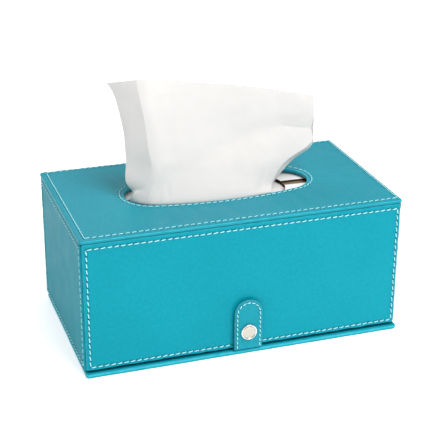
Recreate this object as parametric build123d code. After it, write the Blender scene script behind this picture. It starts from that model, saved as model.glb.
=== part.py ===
from build123d import *
import os

# A leather tissue box cover with an oval opening, a hinged base and a snap tab, closed over a carton.
# Millimetres. X runs left to right, Y front to back and Z up. The origin is on the underside of the
# base, midway between the side walls and midway between the front and back walls.

os.makedirs("parts", exist_ok=True)

# Cover: leather-wrapped boards
cover_length = 250.0
cover_depth = 140.0
cover_height = 110.0
wall_thickness = 3.5
top_thickness = 2.8
wall_corner_round = 2.4
wall_edge_round = 1.1
top_edge_round = 1.0
closing_gap = 1.5

# Base flap
base_thickness = 4.0
base_front_overhang = 1.8
base_side_shift = 1.0
base_corner_round = 3.0
base_edge_round = 1.8

# Oval opening in the top panel
opening_half_length = 73.5
opening_half_width = 28.0
opening_end_share = 0.786
opening_edge_bevel = 0.7

# Pressed channels that the stitching lies in
stitch_inset = 3.6
stitch_channel_width = 1.0
stitch_channel_depth = 0.3
opening_stitch_setback = 3.6
tab_stitch_inset = 2.4

# Hinge strip between the base and the back wall
hinge_strip_thickness = 0.9
hinge_strip_clearance = 0.5
hinge_axis_inset = 0.8

# Snap tab
tab_width = 22.0
tab_rise = 40.0
tab_thickness = 2.0
tab_edge_bevel = 0.4
tab_standoff = 1.4
tab_foot_height = 6.0
tab_root_thickness = 0.9
tab_root_reach = 4.0
tab_root_overhang = 0.2

# Snap fastener
snap_height = 19.8
cap_radius = 6.3
cap_depth = 1.6
cap_rim_width = 0.8
cap_rim_bevel = 0.4
cap_face_depth = 0.25
socket_radius = 5.0
socket_bore_radius = 2.4
socket_depth = 0.8
stud_flange_radius = 4.2
stud_flange_depth = 0.3
stud_head_radius = 2.0
stud_head_depth = 0.8
stud_head_bevel = 0.25
shank_radius = 1.4
shank_clearance = 0.1
rivet_radius = 4.0
rivet_depth = 0.6

# Tissue carton
carton_clearance = 2.5
carton_board = 0.8
carton_lift = 0.3
carton_headroom = 1.7
carton_edge_round = 0.6
hole_half_length = 55.0
hole_half_width = 27.5
hole_end_share = 0.98
flap_gap = 9.0

# Tissues
stack_side_clearance = 1.5
stack_floor_clearance = 0.3
stack_headspace = 9.0
stack_edge_round = 2.0
sheet_thickness = 0.8
sheet_half_span = 80.0
sheet_rise = 92.0
sheet_foot_clearance = 0.4

# One overrun for every cut that runs out of a solid
overrun = 1.0

# Levels and faces that several pieces share
wall_foot = base_thickness + closing_gap
wall_head = cover_height - top_thickness
opening_end_radius = opening_end_share * opening_half_width
hole_end_radius = hole_end_share * hole_half_width
front_face = -cover_depth / 2
back_face = cover_depth / 2
tab_inner_face = front_face - tab_standoff
tab_outer_face = tab_inner_face - tab_thickness
carton_length = cover_length - 2 * (wall_thickness + carton_clearance)
carton_depth = cover_depth - 2 * (wall_thickness + carton_clearance)
carton_foot = base_thickness + carton_lift
carton_head = wall_head - carton_headroom
stack_foot = carton_foot + carton_board + stack_floor_clearance
stack_head = carton_head - carton_board - stack_headspace


def oval(half_length, half_width, end_radius):
    """A face bounded by two long side arcs that run smoothly into two small end arcs."""
    centre = half_length - end_radius
    side_radius = (centre**2 + half_width**2 - end_radius**2) / (2 * (half_width - end_radius))
    lean = side_radius / (side_radius - end_radius)
    tangent_x = centre * lean
    tangent_y = half_width - side_radius + (side_radius - half_width) * lean
    side = ThreePointArc((-tangent_x, tangent_y), (0, half_width), (tangent_x, tangent_y))
    end = ThreePointArc((tangent_x, tangent_y), (half_length, 0), (tangent_x, -tangent_y))
    return make_face([side, end, mirror(side, Plane.XZ), mirror(end, Plane.YZ)])


def oval_channel(half_length, half_width, end_radius):
    """The ring that a row of stitches follows round an oval, centred on the given sizes."""
    half = stitch_channel_width / 2
    outer = oval(half_length + half, half_width + half, end_radius + half)
    inner = oval(half_length - half, half_width - half, end_radius - half)
    return outer - inner


def rectangle_channel(length, height):
    """The ring that a row of stitches follows inside a rectangular panel of the given size."""
    half = stitch_channel_width / 2
    run_length = length - 2 * stitch_inset
    run_height = height - 2 * stitch_inset
    outer = Rectangle(run_length + 2 * half, run_height + 2 * half)
    inner = Rectangle(run_length - 2 * half, run_height - 2 * half)
    return outer - inner


def facing(x, y, z, x_direction, outward):
    """A plane on an outer face, with its normal pointing out of the cover."""
    return Plane(origin=(x, y, z), x_dir=x_direction, z_dir=outward)


def pressed(panel, plane, length, height):
    """The panel with a stitch channel pressed into the face that lies on the plane."""
    ring = plane * rectangle_channel(length, height)
    return panel - extrude(ring, -stitch_channel_depth)


def edges_at(solid, level):
    """The edges of a solid that lie flat at one level."""
    return solid.edges().filter_by_position(Axis.Z, level, level)


def disc(radius, depth, y, outward=-1):
    """A flat disc about the snap's axis, from a Y level outwards, towards the front by default."""
    plane = Plane(origin=(base_side_shift, y, snap_height), x_dir=(1, 0, 0), z_dir=(0, outward, 0))
    return extrude(plane * Circle(radius), depth)


def walls():
    """The four walls as one mitred ring, cut apart along its corners."""
    height = wall_head - wall_foot
    outline = RectangleRounded(cover_length, cover_depth, wall_corner_round)
    ring = extrude(Plane.XY.offset(wall_foot) * outline, height)
    rims = edges_at(ring, wall_head) + edges_at(ring, wall_foot)
    ring = fillet(rims, wall_edge_round)
    room = Rectangle(cover_length - 2 * wall_thickness, cover_depth - 2 * wall_thickness)
    ring -= extrude(Plane.XY.offset(wall_foot - overrun) * room, height + 2 * overrun)

    half_length = cover_length / 2
    half_depth = cover_depth / 2
    middle = half_length - half_depth
    wedges = {
        "front_wall": [(-half_length, -half_depth), (half_length, -half_depth), (middle, 0), (-middle, 0)],
        "back_wall": [(half_length, half_depth), (-half_length, half_depth), (-middle, 0), (middle, 0)],
        "left_wall": [(-half_length, half_depth), (-half_length, -half_depth), (-middle, 0)],
        "right_wall": [(half_length, -half_depth), (half_length, half_depth), (middle, 0)],
    }
    middle_height = (wall_head + wall_foot) / 2
    faces = {
        "front_wall": facing(0, -half_depth, middle_height, (1, 0, 0), (0, -1, 0)),
        "back_wall": facing(0, half_depth, middle_height, (-1, 0, 0), (0, 1, 0)),
        "left_wall": facing(-half_length, 0, middle_height, (0, -1, 0), (-1, 0, 0)),
        "right_wall": facing(half_length, 0, middle_height, (0, 1, 0), (1, 0, 0)),
    }
    lengths = {
        "front_wall": cover_length,
        "back_wall": cover_length,
        "left_wall": cover_depth,
        "right_wall": cover_depth,
    }
    made = {}
    for name, corners in wedges.items():
        wedge = extrude(Plane.XY.offset(wall_foot) * make_face(Polyline(*corners, close=True)), height)
        made[name] = pressed(ring & wedge, faces[name], lengths[name], height)
    shank_hole = disc(shank_radius + shank_clearance, wall_thickness + 2 * overrun, front_face - overrun, 1)
    made["front_wall"] -= shank_hole
    return made


def top_panel():
    """The lid board: rolled edges, the oval opening and the two rows of stitch channel."""
    outline = RectangleRounded(cover_length, cover_depth, wall_corner_round)
    board = extrude(Plane.XY.offset(wall_head) * outline, top_thickness)
    board = fillet(edges_at(board, cover_height) + edges_at(board, wall_head), top_edge_round)
    cut = oval(opening_half_length, opening_half_width, opening_end_radius)
    board -= extrude(Plane.XY.offset(wall_head - overrun) * cut, top_thickness + 2 * overrun)
    top_face = board.faces().sort_by(Axis.Z)[-1]
    board = chamfer(top_face.inner_wires()[0].edges(), opening_edge_bevel)
    board = pressed(board, Plane.XY.offset(cover_height), cover_length, cover_depth)
    round_opening = oval_channel(
        opening_half_length + opening_stitch_setback,
        opening_half_width + opening_stitch_setback,
        opening_end_radius + opening_stitch_setback,
    )
    return board - extrude(Plane.XY.offset(cover_height) * round_opening, -stitch_channel_depth)


def base_flap():
    """The bottom board, proud of the walls in front and a little to one side, with fully rolled edges.

    The root of the snap tab is glued flat on it, under the front wall.
    """
    depth = cover_depth + base_front_overhang
    middle = Pos(base_side_shift, -base_front_overhang / 2)
    outline = middle * RectangleRounded(cover_length, depth, base_corner_round)
    board = extrude(outline, base_thickness)
    board = fillet(edges_at(board, 0) + edges_at(board, base_thickness), base_edge_round)
    root_front = tab_inner_face - tab_root_overhang
    root_depth = front_face + tab_root_reach - root_front
    root = Box(tab_width, root_depth, tab_root_thickness)
    root_level = base_thickness + tab_root_thickness / 2
    return board + Pos(base_side_shift, root_front + root_depth / 2, root_level) * root


def hinge_strip():
    """A leather strip along the back of the base, with a round spine that the back wall turns about."""
    spine_radius = hinge_strip_thickness / 2
    spine_y = back_face - hinge_axis_inset
    leaf_start = carton_depth / 2 + hinge_strip_clearance
    leaf_width = spine_y - leaf_start
    level = base_thickness + spine_radius
    leaf = Pos(leaf_start + leaf_width / 2, level) * Rectangle(leaf_width, hinge_strip_thickness)
    spine = Pos(spine_y, level) * Circle(spine_radius)
    length = cover_length - 2 * wall_corner_round
    return extrude(Plane.YZ * (leaf + spine), length / 2, both=True)


def snap_tab():
    """The strap: a round-topped tongue of two leather layers whose foot is rounded where it folds."""
    half_width = tab_width / 2
    foot_radius = tab_thickness / 2
    foot_middle = (base_side_shift, tab_inner_face, tab_foot_height)
    plane = Plane(origin=foot_middle, x_dir=(1, 0, 0), z_dir=(0, -1, 0))
    shaft_rise = tab_rise - half_width
    outline = Pos(0, shaft_rise / 2) * Rectangle(tab_width, shaft_rise)
    outline += Pos(0, shaft_rise) * Circle(half_width)
    tongue = extrude(plane * outline, tab_thickness)
    bevelled = [
        edge
        for edge in tongue.faces().sort_by(Axis.Y)[0].edges()
        if edge.center().Z > tab_foot_height + foot_radius
    ]
    tongue = chamfer(bevelled, tab_edge_bevel)

    channel_half = stitch_channel_width / 2
    run_half = half_width - tab_stitch_inset
    outer = Pos(0, shaft_rise / 2) * Rectangle(2 * (run_half + channel_half), shaft_rise)
    outer += Pos(0, shaft_rise) * Circle(run_half + channel_half)
    inner = Pos(0, shaft_rise / 2) * Rectangle(2 * (run_half - channel_half), shaft_rise)
    inner += Pos(0, shaft_rise) * Circle(run_half - channel_half)
    channel = Pos(0, foot_radius) * (outer - inner)
    channel -= Rectangle(tab_width, 2 * foot_radius)
    outer_plane = plane.offset(tab_thickness)
    tongue -= extrude(outer_plane * channel, -stitch_channel_depth)
    tongue -= disc(shank_radius + shank_clearance, tab_thickness + 2 * overrun, tab_inner_face + overrun)

    foot_circle = Pos(tab_inner_face - foot_radius, tab_foot_height) * Circle(foot_radius)
    foot = extrude(Plane.YZ.offset(base_side_shift) * foot_circle, half_width, both=True)
    return tongue + foot


def snap_cap():
    """The polished cap: a disc with a raised rim, and the post that goes through the tab."""
    body = disc(cap_radius, cap_depth, tab_outer_face)
    body = chamfer(body.edges().sort_by(Axis.Y)[0], cap_rim_bevel)
    body -= disc(cap_radius - cap_rim_width, cap_face_depth, tab_outer_face - cap_depth, 1)
    post = disc(shank_radius, tab_thickness, tab_inner_face)
    return body + post


def snap_socket():
    """The ring on the back of the tab that closes over the stud."""
    ring = disc(socket_radius, socket_depth, tab_inner_face, 1)
    return ring - disc(socket_bore_radius, socket_depth, tab_inner_face, 1)


def snap_stud():
    """The stud on the front wall: head, flange, shank through the board and the rivet inside."""
    flange = disc(stud_flange_radius, stud_flange_depth, front_face)
    head = disc(stud_head_radius, stud_head_depth, front_face - stud_flange_depth)
    head = chamfer(head.edges().sort_by(Axis.Y)[0], stud_head_bevel)
    shank = disc(shank_radius, wall_thickness, front_face, 1)
    rivet = disc(rivet_radius, rivet_depth, front_face + wall_thickness, 1)
    return flange + head + shank + rivet


def tissue_carton():
    """The board carton: two long top flaps with an oval hole, and end flaps under the gap between them."""
    height = carton_head - carton_foot
    shell = Pos(0, 0, carton_foot + height / 2) * Box(carton_length, carton_depth, height)
    shell = fillet(shell.edges().filter_by(Axis.Z), carton_edge_round)
    inner_length = carton_length - 2 * carton_board
    inner_depth = carton_depth - 2 * carton_board
    inner_height = height - 2 * carton_board
    room = Pos(0, 0, carton_foot + height / 2) * Box(inner_length, inner_depth, inner_height)
    shell -= room

    end_flap_length = inner_length / 2 - hole_half_length
    for side in (-1, 1):
        flap_x = side * (hole_half_length + end_flap_length / 2)
        flap_z = carton_head - carton_board - carton_board / 2
        shell += Pos(flap_x, 0, flap_z) * Box(end_flap_length, inner_depth, carton_board)
    hole = oval(hole_half_length, hole_half_width, hole_end_radius)
    shell -= extrude(Plane.XY.offset(carton_head - 2 * carton_board) * hole, 2 * carton_board + overrun)
    gap_run = Box(carton_length - 2 * carton_board, flap_gap, carton_board)
    return shell - Pos(0, 0, carton_head - carton_board / 2) * gap_run


def tissue_stack():
    """The folded tissues, a soft block with rounded edges that lies in the carton."""
    length = carton_length - 2 * carton_board - 2 * stack_side_clearance
    depth = carton_depth - 2 * carton_board - 2 * stack_side_clearance
    height = stack_head - stack_foot
    block = Pos(0, 0, stack_foot + height / 2) * Box(length, depth, height)
    return fillet(block.edges().group_by(Axis.Z)[-1], stack_edge_round)


# The drawn tissue: lines that run up it from its foot in the carton to its free edge. X is a share of
# half its span, Y a share of the opening's half width, and Z above the top face a share of its rise.
left_edge_shares = [(-0.85, 0.04, 0.02), (-0.88, 0.21, 0.25), (-0.88, 0.32, 0.51), (-1.03, 0.36, 0.95)]
ridge_shares = [(-0.80, -0.57, 0.14), (-0.72, -0.50, 0.32), (-0.74, -0.43, 0.53), (-0.82, -0.36, 1.03)]
left_panel_shares = [(-0.54, -0.82, 0.04), (-0.44, -0.50, 0.25), (-0.40, -0.29, 0.50), (-0.46, -0.21, 0.98)]
middle_shares = [(-0.15, -0.86, 0.03), (-0.03, -0.50, 0.25), (0.02, -0.25, 0.48), (-0.04, -0.11, 0.91)]
right_panel_shares = [(0.19, -0.82, 0.03), (0.36, -0.46, 0.23), (0.45, -0.29, 0.47), (0.41, -0.14, 0.84)]
right_ridge_shares = [(0.46, -0.50, 0.02), (0.64, -0.36, 0.19), (0.93, -0.25, 0.34), (0.95, -0.18, 0.73)]
back_edge_shares = [(0.54, -0.07, 0.01), (0.80, 0.11, 0.12), (1.00, 0.00, 0.28), (0.96, 0.04, 0.69)]

# The same lines where they pass through the carton's hole: X and Y as shares of the hole's half sizes
throat_shares = [
    (-0.88, 0.05),
    (-0.80, -0.40),
    (-0.45, -0.68),
    (0.00, -0.72),
    (0.36, -0.62),
    (0.62, -0.34),
    (0.74, -0.06),
]
foot_draw_share = 0.9
sheet_columns = 16
sheet_rows = 12


def tissue_grid():
    """Points over the drawn tissue, row by row from its foot to its free edge, smooth both ways."""
    upper_lines = [
        left_edge_shares,
        ridge_shares,
        left_panel_shares,
        middle_shares,
        right_panel_shares,
        right_ridge_shares,
        back_edge_shares,
    ]
    foot_z = stack_head + sheet_foot_clearance
    lines = []
    for shares, (throat_x, throat_y) in zip(upper_lines, throat_shares):
        x = throat_x * hole_half_length
        y = throat_y * hole_half_width
        foot = (x * foot_draw_share, y * foot_draw_share, foot_z)
        throat = (x, y, carton_head)
        upper = [
            (share_x * sheet_half_span, share_y * opening_half_width, cover_height + share_z * sheet_rise)
            for share_x, share_y, share_z in shares
        ]
        lines.append(Spline(foot, throat, *upper))
    grid = []
    for row in range(sheet_rows + 1):
        across = Spline(*[line @ (row / sheet_rows) for line in lines])
        grid.append([across @ (column / sheet_columns) for column in range(sheet_columns + 1)])
    return grid


def triangle(a, b, c):
    return Face(Wire.make_polygon([a, b, c]))


def tissue_sheet():
    """The drawn tissue as a thin closed solid of small flat facets."""
    grid = tissue_grid()
    front = []
    back = []
    for row, points in enumerate(grid):
        front_row = []
        back_row = []
        for column, point in enumerate(points):
            along = points[min(column + 1, sheet_columns)] - points[max(column - 1, 0)]
            up = grid[min(row + 1, sheet_rows)][column] - grid[max(row - 1, 0)][column]
            offset = along.cross(up).normalized() * (sheet_thickness / 2)
            front_row.append(point + offset)
            back_row.append(point - offset)
        front.append(front_row)
        back.append(back_row)

    faces = []
    for row in range(sheet_rows):
        for column in range(sheet_columns):
            for side in (front, back):
                a, b = side[row][column], side[row][column + 1]
                c, d = side[row + 1][column + 1], side[row + 1][column]
                faces += [triangle(a, b, c), triangle(a, c, d)]
    ends = [(column, column + 1) for column in range(sheet_columns)]
    for row in (0, sheet_rows):
        for left, right in ends:
            a, b, c, d = front[row][left], front[row][right], back[row][right], back[row][left]
            faces += [triangle(a, b, c), triangle(a, c, d)]
    for column in (0, sheet_columns):
        for row in range(sheet_rows):
            a, b = front[row][column], front[row + 1][column]
            c, d = back[row + 1][column], back[row][column]
            faces += [triangle(a, b, c), triangle(a, c, d)]
    return Solid(Shell(faces))


pieces = {
    **walls(),
    "top_panel": top_panel(),
    "base_flap": base_flap(),
    "hinge_strip": hinge_strip(),
    "snap_tab": snap_tab(),
    "snap_cap": snap_cap(),
    "snap_socket": snap_socket(),
    "snap_stud": snap_stud(),
    "tissue_carton": tissue_carton(),
    "tissue_stack": tissue_stack(),
    "tissue_sheet": tissue_sheet(),
}
for name, piece in pieces.items():
    export_step(piece, f"parts/{name}.step")
    print(name, round(piece.volume, 1), piece.is_valid, len(piece.faces()))
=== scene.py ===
import math
import random

import bmesh
import bpy
import numpy as np
from mathutils import Matrix, Vector, noise


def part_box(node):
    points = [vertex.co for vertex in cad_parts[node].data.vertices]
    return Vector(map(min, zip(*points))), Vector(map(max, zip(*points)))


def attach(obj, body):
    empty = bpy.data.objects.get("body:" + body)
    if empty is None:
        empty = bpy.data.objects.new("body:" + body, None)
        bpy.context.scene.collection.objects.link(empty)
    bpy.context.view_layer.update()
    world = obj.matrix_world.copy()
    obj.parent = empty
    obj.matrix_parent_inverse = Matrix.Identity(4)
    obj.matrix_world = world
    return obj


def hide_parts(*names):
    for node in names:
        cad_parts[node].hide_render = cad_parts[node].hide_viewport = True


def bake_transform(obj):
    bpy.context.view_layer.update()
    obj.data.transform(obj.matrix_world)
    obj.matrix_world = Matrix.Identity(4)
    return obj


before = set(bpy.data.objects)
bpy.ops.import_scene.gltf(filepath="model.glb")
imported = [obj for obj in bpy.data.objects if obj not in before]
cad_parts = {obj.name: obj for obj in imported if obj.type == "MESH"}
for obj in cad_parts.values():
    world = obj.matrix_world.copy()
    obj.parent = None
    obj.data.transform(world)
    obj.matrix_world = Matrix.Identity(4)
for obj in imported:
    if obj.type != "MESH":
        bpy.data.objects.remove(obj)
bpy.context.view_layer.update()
random.seed(7)

# Lengths are worked out in millimetres and turned into metres where a mesh is made.
MM = 0.001
UP = np.array([0, 0, 1.0])


def box_mm(node):
    low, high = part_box(node)
    return np.array(low) / MM, np.array(high) / MM


# Levels and faces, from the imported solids
front_low, front_high = box_mm("front_wall")
left_low, left_high = box_mm("left_wall")
top_low, top_high = box_mm("top_panel")
base_low, base_high = box_mm("base_flap")
tab_low, tab_high = box_mm("snap_tab")
cap_low, cap_high = box_mm("snap_cap")
carton_low, carton_high = box_mm("tissue_carton")
stack_low, stack_high = box_mm("tissue_stack")
strip_low, strip_high = box_mm("hinge_strip")

cap_x = (cap_low[0] + cap_high[0]) / 2
cap_z = (cap_low[2] + cap_high[2]) / 2
cover_length = front_high[0] - front_low[0]
cover_depth = left_high[1] - left_low[1]
wall_foot, wall_head = front_low[2], front_high[2]
cover_height = top_high[2]
base_top = 4.0
wall_thickness = 3.5
wall_corner_round = 2.4
wall_edge_round = 1.1
top_edge_round = 1.1
base_corner_round = 3.0
opening_edge_round = 0.9
# Half length, half width and end radius of the opening in the lid and of the hole in the carton
opening_oval = (73.5, 28.0, 22.0)
hole_oval = (55.0, 27.5, 26.95)

# Stitching, and the leather's groove, needle holes and swell along it
stitch_pitch = 4.9
stitch_steps = 6
stitch_share = 0.78
stitch_slant = math.radians(8)
thread_radius = 0.46
groove_depth = 0.34
groove_width = 0.60
pit_depth = 0.55
swell_height = 0.16
swell_distance = 1.7
# How far the leather of walls, lid, base and strap rises and sinks between its seams
wall_wave = 0.35
lid_wave = 0.22
base_wave = 0.22
strap_wave = 0.22


class Shader:
    """The nodes of one material or of the world, over the object's or the world's own coordinates."""

    def __init__(self, tree, coordinates="Object"):
        self.tree = tree
        self.place = self.add("ShaderNodeTexCoord").outputs[coordinates]

    def feed(self, node, inputs):
        """Links a node's sockets to other sockets or sets them to values."""
        for key, value in inputs.items():
            if isinstance(value, bpy.types.NodeSocket):
                self.tree.links.new(value, node.inputs[key])
            else:
                node.inputs[key].default_value = value

    def add(self, kind, inputs=None, **settings):
        made = self.tree.nodes.new(kind)
        for key, value in settings.items():
            setattr(made, key, value)
        self.feed(made, inputs or {})
        return made

    def ramp(self, factor, start, end, between=(0.3, 0.7)):
        """Colours from start to end between two levels of the factor. A single number is a grey."""
        made = self.add("ShaderNodeValToRGB", {"Fac": factor})
        for element, position, colour in zip(made.color_ramp.elements, between, (start, end)):
            element.position = position
            element.color = (*np.broadcast_to(colour, 3), 1)
        return made.outputs["Color"]

    def mix(self, factor, a, b, blend="MIX"):
        """Two colours mixed, the second a socket or plain red, green and blue."""
        b = b if isinstance(b, bpy.types.NodeSocket) else (*b, 1)
        inputs = {0: factor, 6: a, 7: b}
        return self.add("ShaderNodeMix", inputs, data_type="RGBA", blend_type=blend).outputs[2]

    def product(self, a, b):
        return self.add("ShaderNodeMath", {0: a, 1: b}, operation="MULTIPLY").outputs[0]

    def noise(self, scale, detail=3.0, roughness=0.5, stretch=None):
        place = self.place
        if stretch:
            place = self.add("ShaderNodeMapping", {"Vector": place, "Scale": stretch}).outputs[0]
        inputs = {"Vector": place, "Scale": scale, "Detail": detail, "Roughness": roughness}
        return self.add("ShaderNodeTexNoise", inputs).outputs["Fac"]

    def painted(self, name):
        """What the mesh holds under that name at each of its points, from 0 to 1."""
        return self.add("ShaderNodeAttribute", attribute_name=name).outputs["Fac"]

    def surface(self, colour, roughness, layers=(), values=None):
        """Feeds the material's shader. Bump layers are (height socket, strength, distance in metres)."""
        normal = {}
        for height, strength, distance in layers:
            bump = {"Height": height, "Strength": strength, "Distance": distance, **normal}
            normal = {"Normal": self.add("ShaderNodeBump", bump).outputs["Normal"]}
        inputs = {"Base Color": colour, "Roughness": roughness, **(values or {}), **normal}
        self.feed(self.tree.nodes["Principled BSDF"], inputs)


def new_material(name):
    material = bpy.data.materials.new(name)
    material.use_nodes = True
    return material, Shader(material.node_tree)


def leather(name, dark, light, worn_and_lit=(0.040, 0.470, 0.570), groove_shade=(0.0, 0.110, 0.160), gloss=0.15):
    """Dyed calf leather: an even colour, fine grain, edges paler for wear together with a painted highlight,
    and painted shade in the seam channels.
    """
    material, shader = new_material(name)
    speckle = shader.noise(420.0, 3.0, 0.6)
    rubbed = shader.noise(140.0, 4.0, 0.65)
    folds = shader.noise(60.0, 2.0, 0.45)
    cells = {"Vector": shader.place, "Scale": 900.0, "Randomness": 0.9, "Smoothness": 0.6}
    grain = shader.add("ShaderNodeTexVoronoi", cells, feature="SMOOTH_F1").outputs["Distance"]
    colour = shader.ramp(shader.noise(12.0), dark, light)
    colour = shader.mix(1.0, colour, shader.ramp(speckle, 0.92, 1.05), "MULTIPLY")
    # Paler edges: real wear and a painted highlight on the rounded edges, both carried by the edge mark.
    wear_and_highlight = shader.ramp(shader.product(shader.painted("edge"), rubbed), 0.0, 1.0, (0.10, 0.62))
    colour = shader.mix(wear_and_highlight, colour, worn_and_lit)
    # Painted shade where the seam mark is: seam grooves, needle holes, the grooves at the lid and the slit
    # over the base.
    colour = shader.mix(shader.painted("seam"), colour, groove_shade)
    layers = [(folds, 0.12, 0.0008), (grain, 0.30, 0.00020), (speckle, 0.16, 0.00012)]
    shader.surface(colour, shader.ramp(shader.noise(55.0), 0.32, 0.40), layers,
                   {"IOR": 1.36, "Specular IOR Level": gloss})
    return material


def thread_material():
    material, shader = new_material("waxed_thread")
    fibre = shader.noise(1500.0, 2.0, 0.6)
    colour = shader.ramp(fibre, (0.28, 0.68, 0.74), (0.42, 0.84, 0.88))
    shader.surface(colour, shader.ramp(fibre, 0.40, 0.58), [(fibre, 0.5, 0.0002)])
    return material


def nickel_material():
    material, shader = new_material("polished_nickel")
    scuffs = shader.noise(900.0, 4.0, 0.7)
    colour = shader.ramp(scuffs, (0.53, 0.47, 0.41), (0.63, 0.56, 0.48))
    # The rim, where the edge mark is, is painted paler as a painted highlight.
    colour = shader.mix(shader.painted("edge"), colour, (0.82, 0.82, 0.82))
    shader.surface(colour, shader.ramp(scuffs, 0.12, 0.24), [(scuffs, 0.12, 0.0001)], {"Metallic": 1.0})
    return material


def board_material(name, dark, light, roughness):
    """Carton board: fibres in the colour and a faintly uneven face."""
    material, shader = new_material(name)
    fibre = shader.noise(700.0, 4.0, 0.7, stretch=(0.35, 1.0, 1.0))
    cloud = shader.noise(40.0, 2.0)
    colour = shader.ramp(shader.product(fibre, cloud), dark, light, (0.12, 0.40))
    shader.surface(colour, shader.ramp(cloud, roughness - 0.06, roughness + 0.06), [(fibre, 0.3, 0.0002)])
    return material


def tissue_material():
    """Soft paper: matt, with crepe and fibre in its bump."""
    material, shader = new_material("tissue_paper")
    fibre = shader.noise(900.0, 4.0, 0.7)
    crepe = shader.noise(300.0, 2.0, stretch=(1.0, 1.0, 5.0))
    colour = shader.ramp(shader.noise(30.0), (0.652, 0.629, 0.612), (0.684, 0.661, 0.644))
    layers = [(crepe, 0.25, 0.0003), (fibre, 0.2, 0.0002)]
    shader.surface(colour, shader.ramp(fibre, 0.86, 0.98), layers, {"Specular IOR Level": 0.2})
    return material


turquoise = leather("turquoise_leather", (0.002, 0.275, 0.355), (0.003, 0.300, 0.385))
# Copies of the same leather tuned to how light falls: the lid's slightly darker with twice the sheen, the
# side walls' darker with almost no sheen, as painted shade.
lid_sheen_leather = leather("lid_sheen_leather", (0.004, 0.266, 0.348), (0.007, 0.292, 0.376), gloss=0.30)
side_shade_leather = leather("side_shade_leather", (0.002, 0.245, 0.316), (0.003, 0.268, 0.344), gloss=0.03)
strap_leather = leather("strap_leather", (0.008, 0.275, 0.350), (0.013, 0.300, 0.375),
                        worn_and_lit=(0.080, 0.350, 0.420), groove_shade=(0.0, 0.110, 0.150))
thread = thread_material()
nickel = nickel_material()
white_board = board_material("white_board", (0.76, 0.76, 0.75), (0.87, 0.87, 0.86), 0.5)
kraft_board = board_material("kraft_board", (0.16, 0.11, 0.065), (0.30, 0.215, 0.135), 0.8)
tissue = tissue_material()


def piece(name, points, faces, materials, face_materials=None, attributes=None, sharp=35, fill=False):
    """A mesh object from points in millimetres: doubled points merged, holes filled where asked, faces turned
    outwards and shaded smooth across edges under the sharp angle."""
    mesh = bpy.data.meshes.new(name)
    mesh.from_pydata([tuple(p) for p in np.asarray(points, float) * MM], [], faces)
    for material in materials:
        mesh.materials.append(material)
    if face_materials is not None:
        mesh.polygons.foreach_set("material_index", face_materials)
    for key, values in (attributes or {}).items():
        layer = mesh.attributes.new(key, "FLOAT", "POINT")
        layer.data.foreach_set("value", np.asarray(values, np.float32))
    mesh.validate()
    work = bmesh.new()
    work.from_mesh(mesh)
    bmesh.ops.remove_doubles(work, verts=work.verts, dist=2e-7)
    if fill:
        bmesh.ops.holes_fill(work, edges=[edge for edge in work.edges if edge.is_boundary], sides=0)
    bmesh.ops.recalc_face_normals(work, faces=work.faces)
    work.to_mesh(mesh)
    work.free()
    mesh.polygons.foreach_set("use_smooth", [True] * len(mesh.polygons))
    mesh.set_sharp_from_angle(angle=math.radians(sharp))
    mesh.update()
    made = bpy.data.objects.new(name, mesh)
    bpy.context.scene.collection.objects.link(made)
    return made


def band(first, second, closed=True):
    """Quads between two rows of point numbers of equal length."""
    count = len(first)
    pairs = [(i, (i + 1) % count) for i in range(count if closed else count - 1)]
    return [(first[i], first[j], second[j], second[i]) for i, j in pairs]


class Skin:
    """Points and faces of one piece, made row by row, with the edge wear and painted highlight and the
    painted seam shade on each point.
    """

    def __init__(self):
        self.points, self.faces, self.rows, self.edge, self.seam = [], [], [], [], []

    def row(self, points, edge=0.0, seam=0.0):
        """Adds a row of points and gives their numbers."""
        start = len(self.points)
        self.points.extend(tuple(p) for p in points)
        self.edge.extend(np.broadcast_to(edge, len(points)))
        self.seam.extend(np.broadcast_to(seam, len(points)))
        self.rows.append(list(range(start, len(self.points))))
        return self.rows[-1]

    def join(self, closed=True, ends=False):
        """Faces between the rows since the last join and, for a body with ends, over the first and last."""
        rows, self.rows = self.rows, []
        for first, second in zip(rows, rows[1:]):
            self.faces += band(first, second, closed)
        if ends:
            self.faces += [tuple(rows[0]), tuple(rows[-1])]
        return rows

    def make(self, name, material, sharp, fill=False):
        painted = (("edge", self.edge), ("seam", self.seam))
        attributes = {key: values for key, values in painted if any(values)}
        return piece(name, self.points, self.faces, [material], None, attributes, sharp, fill)


def uneven(points, scale, seed):
    """Smooth noise at each point, about -0.5 to 0.5."""
    shift = Vector((seed * 7.3, seed * 3.1, seed * 1.7))
    return np.array([noise.noise(Vector(p) * scale + shift) for p in points])


# Rings beside a row of stitches: distances from it in millimetres, towards the panel's middle
ring_offsets = [-0.80, -0.50, -0.25, 0.0, 0.25, 0.50, 0.80, 1.3, 2.1, 3.4, 5.2]
outer_shares = [0.0, 0.13, 0.26, 0.39, 0.52, 0.64]
# Painted shade on a wall's first two rings, where its skin turns in at the rims and mitres, in the gaps
# beside the lid, the base and the next wall.
rim_shades = (0.9, 0.4)


def from_hole(phase):
    """Distance along the seam to the nearest needle hole, where a whole phase is one."""
    return np.minimum(phase % 1.0, 1.0 - phase % 1.0) * stitch_pitch


def seam_relief(offset, phase):
    """How high the leather lies beside a seam, at a distance from it and a phase along it."""
    groove = -groove_depth * np.exp(-((offset / groove_width) ** 2))
    pit = -pit_depth * np.exp(-((from_hole(phase) / 0.62) ** 2) - (offset / 0.5) ** 2)
    swell = swell_height * np.exp(-(((abs(offset) - swell_distance) / 0.9) ** 2))
    return groove + pit + swell


def seam_shade(offset, phase):
    hole = np.exp(-((from_hole(phase) / 0.6) ** 2) - (offset / 0.45) ** 2)
    return np.clip(0.35 * np.exp(-((offset / 0.6) ** 2)) + 0.55 * hole, 0, 1)


def middles(low, high, count):
    """The middle of each of count equal steps from low to high."""
    return [low + (k + 0.5) * (high - low) / count for k in range(count)]


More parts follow.
